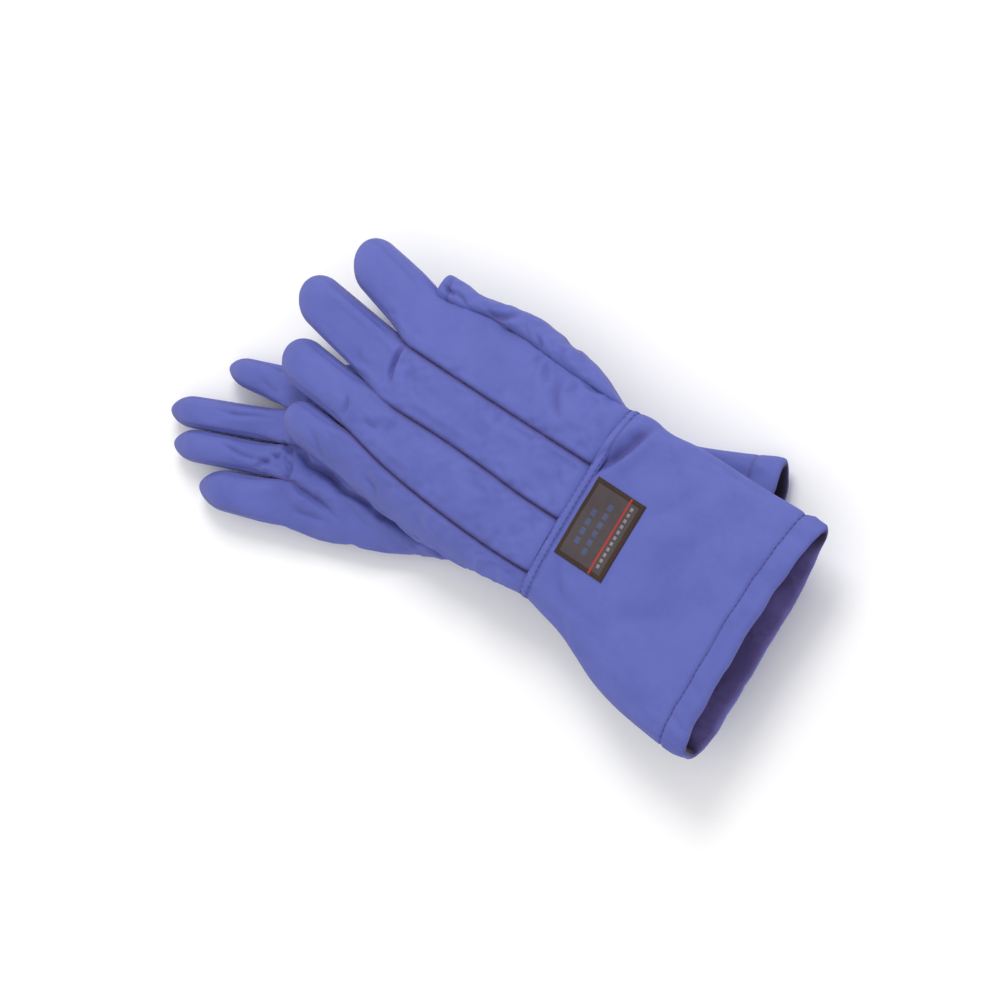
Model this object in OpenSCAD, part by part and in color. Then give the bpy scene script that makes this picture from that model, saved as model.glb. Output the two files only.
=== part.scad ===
// A pair of mid-arm cryogenic gloves. The left glove lies palm down on the right one, which
// lies palm up. Each glove is a sewn outer shell, an insulation layer and an inner liner.

/* [Layers] */
// Thickness of the coated nylon outer shell
shell_t = 1.0; // [0.8:0.1:1.4]
// Thickness of the insulation between shell and liner
fill_t = 3.4; // [2.6:0.2:4.0]
// Thickness of the soft inner liner
liner_t = 1.0; // [0.8:0.1:1.4]
// Clearance between two neighbouring layers
layer_gap = 0.1; // [0.05:0.05:0.15]

/* [Quilting] */
// Depth of the three sewn channels on the back of the hand
channel_depth = 2.4; // [1.0:0.2:2.6]
// Width of a visible stitch line
thread_w = 0.8; // [0.6:0.1:1.2]

/* [Cuff] */
// Length of the upper glove's cuff, from the wrist seam to the mouth
cuff_l = 150; // [146:1:156]
// Width of the turned hem at the mouth
hem_w = 17; // [12:1:20]
// Width of the raised band that covers the wrist seam
welt_w = 7; // [5:1:9]

/* [Label] */
// Size of the woven label along the cuff
label_l = 38; // [30:1:40]
// Size of the woven label across the cuff
label_w = 54; // [44:1:56]

/* [Stacking] */
// Space between the two gloves where they lie on each other
stack_gap = 1.2; // [1.0:0.1:3.0]
// Angle between the two gloves
fan_angle = 21; // [18:1:23]

/* [Hidden] */

// Which glove, used as an index into the tables below
UPPER = 0;
LOWER = 1;
// Which finger
INDEX = 0;
MIDDLE = 1;
RING = 2;
LITTLE = 3;

// Depth of each layer's outer surface below the glove's own
fill_in = shell_t + layer_gap;
liner_in = fill_in + fill_t + layer_gap;
facing_in = liner_in + liner_t + layer_gap;
facing_t = 1.0;

// Each glove is drawn about its wrist seam: fingers to -X, mouth to +X, thumb to +Y, back to +Z.
// The gap between hand and cuff, and between hand and fingers, where the fabric bends
bend_gap = 0.6;
// Half of the gap between back and palm panel at the side seams
seam_gap = 0.1;
// Where the hand ends and the fingers start
knuckle_x = [-145, -165];
// Where the mouth is
mouth_x = [cuff_l, 157];
// How far the mouth slants per millimetre of width
mouth_slant = [0, 0.25];
// Outline of each glove: [x, y] along its little-finger edge and along its thumb edge
near_edge = [
    [[-165, -70], [-140, -71], [-86, -73.5], [-46, -69], [0, -65], [20, -68], [36, -71],
     [51, -76], [72, -84], [110, -92], [cuff_l, -93]],
    [[-165, -47.5], [-100, -50], [-46, -48], [0, -48], [40, -51], [157, -52]]
];
far_edge = [
    [[-165, 61.5], [-60, 62], [-18, 63], [0, 65], [20, 67], [50, 70], [110, 72.3], [cuff_l, 72.6]],
    [[-165, 48], [-60, 48.5], [-18, 48.5], [0, 49], [60, 50], [157, 52]]
];
// Half of the glove's thickness along X
half_h = [
    [[-165, 12], [-145, 12.4], [-90, 13.4], [-40, 12.6], [0, 11.6], [30, 12], [cuff_l, 14.4]],
    [[-165, 13.4], [-100, 14.6], [-40, 14.2], [0, 12.8], [40, 13], [157, 13.3]]
];
// Half height at which each glove is pressed flat by what it lies on
flat_h = [13.6, 13.9];
// Height of each glove's middle plane above the table
lower_z = flat_h[LOWER] + 0.1;
upper_z = lower_z + 14.4 + stack_gap + 14.4;
// Roundness of the section: 2 is an ellipse and more is flatter
section_p = 2.5;
finger_p = 2.3;

// Fingers: [root y, tip x, tip y, root width, tip width, half height]
fingers = [
    [[42, -216, 55, 38, 33, 12], [4, -236, 18.5, 34, 31, 12], [-27.8, -223, -21, 26.4, 31, 12],
     [-56, -203, -53, 28, 27.6, 11.6]],
    [[35.5, -217.5, 41.2, 24.6, 23, 11.4], [12.3, -251, 12.6, 20.4, 20.4, 11.6],
     [-8.3, -243.5, -9.4, 19.4, 20, 11.6], [-33, -220, -32.8, 28.4, 24, 12.2]]
];
// Thumb: it lies along the hand's edge, [root x, tip x, inner y, widest, half height, z]
thumb = [[-18, -156, 63.8, 17, 11.6, -1.4], [-18, -140, 49.8, 15, 11.6, -1]];
// The window between thumb and hand: where it lies along X, how far it reaches, how high it is
window_x = [-66, -32];
window_reach = 9;
window_h = 9;

// Across the back: where the three channels run, at the wrist and at the knuckles
channel_wrist = [[23.5, -14.8, -52.6], [24, 0, -24]];
channel_knuckle = [[22, -13.9, -41.6], [23, 2, -18.4]];

// Segments across one quilted channel, across a palm, round a finger
channel_seg = 4;
palm_seg = 10;
finger_seg = 12;

// Where the sections are, as shares of the hand's and the cuff's length
hand_steps = [0, 0.2, 0.42, 0.64, 0.84, 1];
cuff_steps = [0, 0.14, 0.28, 0.45, 0.73];

// ---- numbers along a glove ----

function at(table, x) = lookup(x, table);
function side_of(v) = v < 0 ? -1 : 1;
function power(v, e) = side_of(v) * pow(abs(v), e);
function middle_y(g, x) = (at(near_edge[g], x) + at(far_edge[g], x)) / 2;
function half_w(g, x) = (at(far_edge[g], x) - at(near_edge[g], x)) / 2;
function slanted(g, x, y) = x + (x > 0 ? mouth_slant[g] * y * x / mouth_x[g] : 0);

// y of a channel seam or edge, counted from the thumb edge: 0 and 4 are the edges
function line_y(g, x, k, inset) =
    k == 0 ? at(far_edge[g], x) - inset :
    k == 4 ? at(near_edge[g], x) + inset :
    let (t = max(0, min(1, x / knuckle_x[g])))
    channel_wrist[g][k - 1] * (1 - t) + channel_knuckle[g][k - 1] * t;

// Height of the section at y, for a layer that lies inset below the outer surface
function height(g, x, y, inset) =
    let (s = min(1, abs(y - middle_y(g, x)) / (half_w(g, x) - inset)),
         h = (at(half_h[g], x) - inset) * pow(1 - pow(s, section_p), 1 / section_p))
    x < 0 ? min(h, flat_h[g] - inset) : h;

// 1 at a channel's seams, and 0 over the middle half of it
function pinch(t) = pow(max(0, 1 - min(t, 1 - t) * 4), 2);

// The back half of a section, from the thumb edge to the little-finger edge
function back_arc(g, x, inset, depth) = [
    for (k = [0:3])
        for (i = [0:channel_seg - (k < 3 ? 1 : 0)])
            let (t = i / channel_seg,
                 y = line_y(g, x, k, inset) * (1 - t) + line_y(g, x, k + 1, inset) * t,
                 h = height(g, x, y, inset))
            [slanted(g, x, y), y, h - min(depth * pinch(t), h * 0.6)]
];
function palm_arc(g, x, inset) = [
    for (i = [0:palm_seg])
        let (a = 180 * i / palm_seg,
             y = middle_y(g, x) + (half_w(g, x) - inset) * power(cos(a), 2 / section_p))
        [slanted(g, x, y), y, -height(g, x, y, inset)]
];
function raised(arc, dz) = [for (p = arc) p + [0, 0, dz]];
// A whole section: the back arc, then the palm arc the other way without its two ends
function section(g, x, inset, depth) =
    concat(back_arc(g, x, inset, depth),
           [for (i = [palm_seg - 1:-1:1]) palm_arc(g, x, inset)[i]]);

function hand_x(g, t) = -bend_gap / 2 + (knuckle_x[g] + bend_gap / 2) * t;
function cuff_x(g, t) = bend_gap / 2 + (mouth_x[g] - bend_gap / 2) * t;
// The cuff's sections along X; the last two are the hem's edges
function cuff_stations(g) =
    concat([for (s = cuff_steps) cuff_x(g, s)], [mouth_x[g] - hem_w, mouth_x[g]]);

// ---- solids from sections ----

function flat(lists) = [for (l = lists) for (p = l) p];
// Two triangles for each square between section j and j + 1; count points a section
function band_faces(j, count, wrap, start, turn) = [
    for (i = [0:count - (wrap ? 1 : 2)])
        let (n = (i + 1) % count,
             a = start + j * count + i, b = start + j * count + n,
             c = a + count, d = b + count)
        each (turn ? [[a, b, c], [b, d, c]] : [[a, c, b], [b, c, d]])
];
// Two triangles for each square between the outer and the inner skin at section j
function rim_faces(j, count, wrap, inner_start, turn) = [
    for (i = [0:count - (wrap ? 1 : 2)])
        let (n = (i + 1) % count,
             a = j * count + i, b = j * count + n,
             c = a + inner_start, d = b + inner_start)
        each (turn ? [[a, b, c], [b, d, c]] : [[a, c, b], [b, c, d]])
];

// A layer open at both ends, from two lists of sections; wrap closes each section
module layer(outer, inner, wrap = true) {
    rows = len(outer);
    count = len(outer[0]);
    size = rows * count;
    skins = [for (j = [0:rows - 2])
        each concat(band_faces(j, count, wrap, 0, true), band_faces(j, count, wrap, size, false))];
    rims = concat(rim_faces(0, count, wrap, size, false), rim_faces(rows - 1, count, wrap, size, true));
    sides = wrap ? [] : [
        for (j = [0:rows - 2], i = [0, count - 1])
            let (a = j * count + i, b = a + count, c = a + size, d = b + size)
            each (i == 0 ? [[a, b, c], [b, d, c]] : [[a, c, b], [b, c, d]])
    ];
    polyhedron(concat(flat(outer), flat(inner)), concat(skins, rims, sides), convexity = 6);
}

// A layer closed at its last section, where a tip point ends each skin
module stall(outer, inner, outer_tip, inner_tip) {
    rows = len(outer);
    count = len(outer[0]);
    size = rows * count;
    skins = [for (j = [0:rows - 2])
        each concat(band_faces(j, count, true, 0, true), band_faces(j, count, true, size, false))];
    rims = rim_faces(0, count, true, size, false);
    last = (rows - 1) * count;
    tips = [for (i = [0:count - 1])
        let (n = (i + 1) % count)
        each [[last + i, last + n, 2 * size], [size + last + n, size + last + i, 2 * size + 1]]];
    polyhedron(concat(flat(outer), flat(inner), [outer_tip, inner_tip]), concat(skins, rims, tips),
               convexity = 6);
}

// A solid closed by a point at each end
module pod(rings, first_tip, last_tip) {
    rows = len(rings);
    count = len(rings[0]);
    last = (rows - 1) * count;
    skin = [for (j = [0:rows - 2]) each band_faces(j, count, true, 0, true)];
    tips = [for (i = [0:count - 1])
        let (n = (i + 1) % count)
        each [[n, i, rows * count], [last + i, last + n, rows * count + 1]]];
    polyhedron(concat(flat(rings), [first_tip, last_tip]), concat(skin, tips), convexity = 4);
}

// ---- fingers ----

finger_steps = [0, 0.3, 0.6, 0.8, 0.91, 0.975];

function oval(x, y, z, a, b) = [
    for (i = [0:finger_seg - 1])
        let (t = 360 * i / finger_seg)
        [x, y + a * power(cos(t), 2 / finger_p), z + b * power(sin(t), 2 / finger_p)]
];
// The round end of a stall: 1 along its length, falling to 0 at its tip
function tip_fade(run, end_r) = run > end_r ? 1 : sqrt(max(0, 1 - pow(1 - run / end_r, 2)));
function finger_ring(g, f, t, inset) =
    let (d = fingers[g][f],
         root = knuckle_x[g] - bend_gap,
         length = root - d[1],
         run = length * (1 - t),
         half = (d[3] * (1 - t) + d[4] * t) / 2,
         fade = tip_fade(run, d[4] * 0.55),
         x = root - (length - inset) * t,
         y = d[0] * (1 - t) + d[2] * t,
         a = (half - inset) * fade, b = (d[5] - inset) * max(fade, 0.45) * (fade > 0 ? 1 : 0))
    oval(x, y, 0, a, b);
function finger_tip(g, f, inset) =
    let (d = fingers[g][f]) [d[1] + inset, d[2], 0];

module finger_layer(g, f, inset, t) {
    stall([for (s = finger_steps) finger_ring(g, f, s, inset)],
          [for (s = finger_steps) finger_ring(g, f, s, inset + t)],
          finger_tip(g, f, inset), finger_tip(g, f, inset + t));
}

thumb_steps = [0.02, 0.08, 0.3, 0.6, 0.8, 0.91, 0.975];

function thumb_half(g, t) = thumb[g][3] / 2 * (0.72 + 0.28 * sin(180 * pow(t, 0.8)));
function thumb_x(g, t, inset) =
    thumb[g][0] - inset - (thumb[g][0] - thumb[g][1] - 2 * inset) * t;
function thumb_ring(g, t, inset) =
    let (d = thumb[g],
         length = d[0] - d[1],
         half = thumb_half(g, t),
         fade = tip_fade(length * (1 - t), d[3] * 0.7) * tip_fade(length * t, d[3] * 0.5),
         h = d[4] * (0.76 + 0.24 * sin(180 * pow(t, 0.7))))
    oval(thumb_x(g, t, inset), d[2] + half, d[5], (half - inset * 0.75) * max(fade, 0.4),
         (h - inset) * max(fade, 0.5));
function thumb_end(g, t, inset) = [thumb_x(g, t, inset), thumb[g][2] + thumb_half(g, t), thumb[g][5]];

module thumb_pod(g, inset) {
    pod([for (s = thumb_steps) thumb_ring(g, s, inset)],
        thumb_end(g, 0, inset), thumb_end(g, 1, inset));
}
// The opening through which the thumb enters its stall from the hand
module thumb_window(g) {
    translate([window_x[0], thumb[g][2] - window_reach, thumb[g][5] - window_h / 2])
        cube([window_x[1] - window_x[0], 2 * window_reach, window_h]);
}
module thumb_layer(g, inset, t) {
    difference() {
        thumb_pod(g, inset);
        thumb_pod(g, inset + t);
        thumb_window(g);
    }
}

// ---- hand ----

module back_panel(g) {
    layer([for (s = hand_steps) raised(back_arc(g, hand_x(g, s), 0, channel_depth), seam_gap)],
          [for (s = hand_steps) raised(back_arc(g, hand_x(g, s), shell_t, channel_depth), seam_gap)],
          wrap = false);
}
module palm_panel(g) {
    rotate([180, 0, 0]) mirror([0, 1, 0])
        layer([for (s = hand_steps) flipped(palm_arc(g, hand_x(g, s), 0))],
              [for (s = hand_steps) flipped(palm_arc(g, hand_x(g, s), shell_t))],
              wrap = false);
}
function flipped(arc) = [for (p = arc) [p[0], p[1], seam_gap - p[2]]];

module hand_layer(g, inset, t, depth_out, depth_in) {
    layer([for (s = hand_steps) section(g, hand_x(g, s), inset, depth_out)],
          [for (s = hand_steps) section(g, hand_x(g, s), inset + t, depth_in)]);
}

// A flat cord of stitching that follows the back at height lift, from x0 to x1 along line k
module channel_line(g, k) {
    lift = 0.45;
    thick = 0.5;
    rows = [for (s = [0.02, 0.2, 0.42, 0.64, 0.84, 0.98])
        let (x = hand_x(g, s), y = line_y(g, x, k, 0),
             z = height(g, x, y, 0) - channel_depth + seam_gap + lift)
        [x, y, z]];
    layer([for (p = rows) [p + [0, thread_w / 2, thick], p + [0, -thread_w / 2, thick]]],
          [for (p = rows) [p + [0, thread_w / 2, 0], p + [0, -thread_w / 2, 0]]], wrap = false);
}

// ---- cuff ----

function cuff_rows(g, inset, dz) =
    [for (x = cuff_stations(g)) raised(back_arc(g, x, inset, 0), dz)];

module cuff_back_panel(g) {
    layer(cuff_rows(g, 0, seam_gap), cuff_rows(g, shell_t, seam_gap), wrap = false);
}
module cuff_palm_panel(g) {
    rotate([180, 0, 0]) mirror([0, 1, 0])
        layer([for (x = cuff_stations(g)) flipped(palm_arc(g, x, 0))],
              [for (x = cuff_stations(g)) flipped(palm_arc(g, x, shell_t))],
              wrap = false);
}
// A layer of the cuff through the sections at the given stations
module cuff_layer(g, inset, t, stations) {
    layer([for (x = stations) section(g, x, inset, 0)],
          [for (x = stations) section(g, x, inset + t, 0)]);
}

// ---- label ----

label_x = 9;
label_y = -5.5;
label_t = 0.8;
label_lift = 0.25;

// A patch that follows the back of the cuff, between two heights above it
module back_patch(g, x0, x1, y0, y1, low, high) {
    rows = [for (i = [0:3]) x0 + (x1 - x0) * i / 3];
    cols = [for (i = [0:6]) y1 + (y0 - y1) * i / 6];
    layer([for (x = rows) [for (y = cols) [x, y, height(g, x, y, 0) + seam_gap + high]]],
          [for (x = rows) [for (y = cols) [x, y, height(g, x, y, 0) + seam_gap + low]]],
          wrap = false);
}

// ---- placing ----

// The lower glove's wrist seam, seen from the upper glove's
lower_at = [-48, -17];
// The middle of the pair's footprint, so that the origin is under its centre
pair_centre = [-68.5, -20.78];

module place(g) {
    translate([-pair_centre[0], -pair_centre[1], 0])
        if (g == UPPER)
            translate([0, 0, upper_z]) children();
        else
            translate([lower_at[0], lower_at[1], lower_z]) rotate([0, 0, fan_angle])
                mirror([0, 0, 1]) children();
}

// ---- sub-parts of one glove ----

shell_blue = [0.40, 0.42, 0.74];
thread_blue = [0.30, 0.31, 0.62];
fill_white = [0.90, 0.90, 0.86];
liner_plum = [0.30, 0.24, 0.42];

module with_window(g) {
    difference() {
        children();
        thumb_window(g);
    }
}

module back_shell(g) { color(shell_blue) place(g) with_window(g) back_panel(g); }
module palm_shell(g) { color(shell_blue) place(g) with_window(g) palm_panel(g); }
module channel_thread(g) { color(thread_blue) place(g) for (k = [1:3]) channel_line(g, k); }
module hand_insulation(g) {
    color(fill_white) place(g) with_window(g) hand_layer(g, fill_in, fill_t, channel_depth, 0);
}
module hand_liner(g) {
    color(liner_plum) place(g) with_window(g) hand_layer(g, liner_in, liner_t, 0, 0);
}

module finger_shell(g, f) { color(shell_blue) place(g) finger_layer(g, f, 0, shell_t); }
module finger_insulation(g, f) { color(fill_white) place(g) finger_layer(g, f, fill_in, fill_t); }
module finger_liner(g, f) { color(liner_plum) place(g) finger_layer(g, f, liner_in, liner_t); }

module thumb_shell(g) { color(shell_blue) place(g) thumb_layer(g, 0, shell_t); }
module thumb_insulation(g) { color(fill_white) place(g) thumb_layer(g, fill_in, fill_t * 0.6); }
module thumb_liner(g) {
    color(liner_plum) place(g) thumb_layer(g, fill_in + fill_t * 0.6 + layer_gap, liner_t * 0.8);
}

module wrist_welt(g) {
    color(shell_blue) place(g)
        cuff_layer(g, -0.95, 0.8, [for (s = [0, 0.5, 1]) bend_gap / 2 + welt_w * s]);
}
module cuff_back(g) { color(shell_blue) place(g) cuff_back_panel(g); }
module cuff_palm(g) { color(shell_blue) place(g) cuff_palm_panel(g); }
module cuff_insulation(g) {
    color(fill_white) place(g) cuff_layer(g, fill_in, fill_t, cuff_stations(g));
}
module cuff_lining(g) {
    color(liner_plum) place(g) cuff_layer(g, liner_in, liner_t, cuff_stations(g));
}
module hem_facing(g) {
    color(shell_blue) place(g)
        cuff_layer(g, facing_in, facing_t, [mouth_x[g] - hem_w, mouth_x[g]]);
}
module hem_thread(g) {
    color(thread_blue) place(g)
        cuff_layer(g, -0.5, 0.35, [mouth_x[g] - hem_w, mouth_x[g] - hem_w + thread_w]);
}

module woven_label(g) {
    color([0.33, 0.29, 0.29]) place(g)
        back_patch(g, label_x, label_x + label_l, label_y - label_w / 2, label_y + label_w / 2,
                   label_lift, label_lift + label_t);
}
// Stitching round the label, set in from its edge
module label_stitches(g) {
    edge = 1.6;
    low = label_lift + label_t + 0.1;
    high = low + 0.35;
    x0 = label_x + edge;
    x1 = label_x + label_l - edge;
    y0 = label_y - label_w / 2 + edge;
    y1 = label_y + label_w / 2 - edge;
    color(thread_blue) place(g) {
        for (x = [x0, x1 - thread_w]) back_patch(g, x, x + thread_w, y0, y1, low, high);
        for (y = [y0, y1 - thread_w])
            back_patch(g, x0 + thread_w * 1.5, x1 - thread_w * 1.5, y, y + thread_w, low, high);
    }
}

back_shell(UPPER);  // upper_back_shell
palm_shell(UPPER);  // upper_palm_shell
channel_thread(UPPER);  // upper_channel_thread
hand_insulation(UPPER);  // upper_hand_insulation
hand_liner(UPPER);  // upper_hand_liner
finger_shell(UPPER, INDEX);  // upper_index_shell
finger_insulation(UPPER, INDEX);  // upper_index_insulation
finger_liner(UPPER, INDEX);  // upper_index_liner
finger_shell(UPPER, MIDDLE);  // upper_middle_shell
finger_insulation(UPPER, MIDDLE);  // upper_middle_insulation
finger_liner(UPPER, MIDDLE);  // upper_middle_liner
finger_shell(UPPER, RING);  // upper_ring_shell
finger_insulation(UPPER, RING);  // upper_ring_insulation
finger_liner(UPPER, RING);  // upper_ring_liner
finger_shell(UPPER, LITTLE);  // upper_little_shell
finger_insulation(UPPER, LITTLE);  // upper_little_insulation
finger_liner(UPPER, LITTLE);  // upper_little_liner
thumb_shell(UPPER);  // upper_thumb_shell
thumb_insulation(UPPER);  // upper_thumb_insulation
thumb_liner(UPPER);  // upper_thumb_liner
wrist_welt(UPPER);  // upper_wrist_welt
cuff_back(UPPER);  // upper_cuff_back
cuff_palm(UPPER);  // upper_cuff_palm
cuff_insulation(UPPER);  // upper_cuff_insulation
cuff_lining(UPPER);  // upper_cuff_lining
hem_facing(UPPER);  // upper_hem_facing
hem_thread(UPPER);  // upper_hem_thread
woven_label(UPPER);  // upper_label
label_stitches(UPPER);  // upper_label_thread

back_shell(LOWER);  // lower_back_shell
palm_shell(LOWER);  // lower_palm_shell
channel_thread(LOWER);  // lower_channel_thread
hand_insulation(LOWER);  // lower_hand_insulation
hand_liner(LOWER);  // lower_hand_liner
finger_shell(LOWER, INDEX);  // lower_index_shell
finger_insulation(LOWER, INDEX);  // lower_index_insulation
finger_liner(LOWER, INDEX);  // lower_index_liner
finger_shell(LOWER, MIDDLE);  // lower_middle_shell
finger_insulation(LOWER, MIDDLE);  // lower_middle_insulation
finger_liner(LOWER, MIDDLE);  // lower_middle_liner
finger_shell(LOWER, RING);  // lower_ring_shell
finger_insulation(LOWER, RING);  // lower_ring_insulation
finger_liner(LOWER, RING);  // lower_ring_liner
finger_shell(LOWER, LITTLE);  // lower_little_shell
finger_insulation(LOWER, LITTLE);  // lower_little_insulation
finger_liner(LOWER, LITTLE);  // lower_little_liner
thumb_shell(LOWER);  // lower_thumb_shell
thumb_insulation(LOWER);  // lower_thumb_insulation
thumb_liner(LOWER);  // lower_thumb_liner
wrist_welt(LOWER);  // lower_wrist_welt
cuff_back(LOWER);  // lower_cuff_back
cuff_palm(LOWER);  // lower_cuff_palm
cuff_insulation(LOWER);  // lower_cuff_insulation
cuff_lining(LOWER);  // lower_cuff_lining
hem_facing(LOWER);  // lower_hem_facing
hem_thread(LOWER);  // lower_hem_thread
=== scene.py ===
"""Two padded cryogenic gloves, the left one lying palm down on the right one, palm up.

Each glove is drawn in millimetres about its own wrist seam: fingers to -X, cuff mouth to +X,
thumb to +Y and back of the hand to +Z. PLACES then brings it to its place in the frame.
"""

import math

import bmesh
import bpy
import numpy as np
from mathutils import Matrix, Vector, noise


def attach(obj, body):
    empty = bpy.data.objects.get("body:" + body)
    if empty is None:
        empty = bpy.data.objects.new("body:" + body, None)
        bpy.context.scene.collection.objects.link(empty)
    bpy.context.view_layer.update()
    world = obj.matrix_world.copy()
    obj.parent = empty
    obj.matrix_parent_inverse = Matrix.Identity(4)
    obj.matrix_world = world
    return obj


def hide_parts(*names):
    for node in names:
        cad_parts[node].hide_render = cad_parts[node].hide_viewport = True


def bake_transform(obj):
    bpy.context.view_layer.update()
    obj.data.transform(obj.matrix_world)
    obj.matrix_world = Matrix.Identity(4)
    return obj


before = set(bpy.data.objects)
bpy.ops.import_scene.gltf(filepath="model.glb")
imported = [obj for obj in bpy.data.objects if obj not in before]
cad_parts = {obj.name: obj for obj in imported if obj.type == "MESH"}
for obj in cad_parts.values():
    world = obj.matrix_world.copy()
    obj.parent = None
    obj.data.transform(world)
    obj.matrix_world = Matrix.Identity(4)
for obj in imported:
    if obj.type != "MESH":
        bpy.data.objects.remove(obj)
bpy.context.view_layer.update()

MM = 0.001

# ---- the two gloves ----

# The CAD's outlines, moved a few millimetres to follow the photo more closely: [x, y] along the
# little-finger edge and along the thumb edge
GLOVES = {
    "upper": {
        "near": [(-240, -70), (-165, -70), (-140, -71.5), (-86, -75), (-61, -74.5), (-16, -69.2),
                 (0, -66.5), (20, -69.5), (36, -73), (51, -78.5), (72, -86.5), (110, -94), (130, -95.3),
                 (150, -94)],
        "far": [(-240, 61.5), (-165, 61.5), (-150, 62), (-130, 65.5), (-112, 68.0), (-101, 67.4),
                (-90, 68.4), (-60, 66.6), (-33, 65.8), (-14, 66), (0, 65.2), (9, 67.6), (17, 67.8),
                (26, 66.4), (50, 68.6), (98, 69), (130, 70), (150, 71)],
        # Half of its thickness along x, and the half height at which it is pressed flat
        "half": [(-240, 11.6), (-145, 12.4), (-90, 13.4), (-40, 12.6), (0, 11.6), (30, 12), (150, 14.4)],
        "flat": 13.6,
        # Which side of the middle plane is seen: 1 is the back of the hand and -1 the palm
        "seen": 1,
        # Where each piece starts in the noise
        "hand_seed": 3,
        "thumb_seed": 5,
        "cuff_seed": 4,
        "tip_drop": 3.0,
        # How far the little-finger side hangs
        "sag": 3.2,
        # Length of the rounding at a fingertip as a share of its width, and how blunt it is
        "tip_round": (0.56, 0.5),
        # Roundness of the mouth's section on the thumb side and on the little-finger side
        "mouth_p": (1.65, 4.6),
        # How strongly the hem's puckers and stitch line show
        "firm": 1.0,
        # How far the mouth's underside stands out beyond its middle
        "reach": 3.6,
        "knuckle": -145,
        "mouth": 150,
        # How far the mouth slants for each millimetre of width
        "slant": 0.0,
        # Each finger: root y, tip x, tip y, root width, tip width, half height
        "fingers": {"index": (42, -217, 55.5, 38, 33, 12), "middle": (5.8, -237, 18.5, 39, 31, 12),
                    "ring": (-26.2, -224.5, -20.5, 31.5, 31.5, 12),
                    "little": (-56, -203, -53, 28, 27.6, 11.6)},
        # The three channel lines, each as [x, y]
        "lines": ([(-170, 23.6), (-60, 23.6), (0, 24)],
                  [(-170, -13.8), (-130, -13.3), (-98, -12.6), (-65, -13.3), (-31, -15), (0, -15)],
                  [(-170, -38.5), (-152, -41.5), (-125, -46.7), (-89, -50.6), (-55, -52.8), (-22, -53.3),
                   (0, -52.5)]),
        # Where the three crotches between the fingers are
        "crotches": (-155, -143, -158),
        # Thumb: root x, tip x, half height, z, and its outline [x, y] away from the hand
        "thumb": (-3, -156, 11.4, -1.2),
        "thumb_out": [(-156, 75), (-146, 75.2), (-131, 76.6), (-110, 79.5), (-87, 81.8), (-60, 80.6),
                      (-34, 76.2), (-14, 69.5), (-3, 65)],
    },
    "lower": {
        "near": [(-255, -47.5), (-165, -47.5), (-124, -51.5), (-100, -51.5), (-46, -49.5), (0, -49),
                 (40, -51), (157, -52)],
        "far": [(-255, 48), (-165, 48), (-60, 48.5), (-18, 48.5), (0, 49), (60, 48.5), (110, 47.5),
                (157, 49.5)],
        "half": [(-255, 12.4), (-165, 13.4), (-100, 14.6), (-40, 14.2), (0, 12.8), (40, 13), (157, 13.3)],
        "flat": 13.9,
        "seen": -1,
        "hand_seed": 8,
        "thumb_seed": 11,
        "cuff_seed": 9,
        "tip_drop": 5.0,
        "sag": 0.0,
        "tip_round": (0.85, 0.62),
        "mouth_p": (2.0, 2.6),
        "firm": 0.5,
        "reach": 1.0,
        "knuckle": -165,
        "mouth": 157,
        "slant": 0.25,
        "fingers": {"index": (38, -218, 45, 27, 17, 11.4),
                    "middle": (13.7, -252.5, 12.8, 21.8, 20.6, 11.6),
                    "ring": (-8.5, -245.5, -7.8, 21.8, 21, 11.6),
                    "little": (-34, -221.5, -32, 28.6, 26, 12.2)},
        "lines": ([(-175, 24.5), (-165, 24.5), (0, 24)], [(-175, 2.7), (-165, 2.6), (0, 0)],
                  [(-175, -19.4), (-165, -19.6), (0, -24)]),
        "crotches": (-165, -163, -156),
        "thumb": (-3, -140, 11, -1),
        "thumb_out": [(-140, 58.5), (-110, 62.5), (-80, 64.8), (-50, 62.5), (-20, 53.5), (-3, 49.5)],
    },
}
FINGERS = ("index", "middle", "ring", "little")
HEM = 17.0
WELT = 5.2
# Roundness of a section: 2 is an ellipse and more is flatter
SECTION_P = 2.5
FINGER_P = 2.3
THUMB_P = 2.2
WRIST_DIP = 1.4
# How high the lower glove's skin lies over the table, in metres
CLEARANCE = 0.0002

LOWER_Z = 14.0
UPPER_Z = 44.0
FAN = math.radians(21)
SHIFT = Vector((68.5, 20.78, 0))
PLACES = {
    "upper": Matrix.Scale(MM, 4) @ Matrix.Translation(SHIFT + Vector((0, 0, UPPER_Z))),
    "lower": Matrix.Scale(MM, 4) @ Matrix.Translation(SHIFT + Vector((-48, -17, LOWER_Z)))
    @ Matrix.Rotation(FAN, 4, "Z") @ Matrix.Diagonal((1, 1, -1, 1)),
}


# ---- numbers ----

def curve(table, x):
    """A smooth line through the table's points."""
    px, py = np.array(table, float).T
    slope = np.gradient(py, px)
    x = np.clip(x, px[0], px[-1])
    i = np.clip(np.searchsorted(px, x) - 1, 0, len(px) - 2)
    h = px[i + 1] - px[i]
    t = (x - px[i]) / h
    return ((1 + 2 * t) * (1 - t) ** 2 * py[i] + t * (1 - t) ** 2 * h * slope[i]
            + t * t * (3 - 2 * t) * py[i + 1] + t * t * (t - 1) * h * slope[i + 1])


def smooth(a, b, x):
    t = np.clip((x - a) / (b - a), 0, 1)
    return t * t * (3 - 2 * t)


def power(v, e):
    return np.sign(v) * np.abs(v) ** e


def noise_at(points, size, seed=0):
    """Smooth noise from -1 to 1 at each point, with features about size across."""
    p = np.asarray(points, float).reshape(-1, 3) / size + seed * 17.3
    return np.array([noise.noise(Vector(q)) for q in p])


def middle_y(g, x):
    return (curve(g["near"], x) + curve(g["far"], x)) / 2


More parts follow.
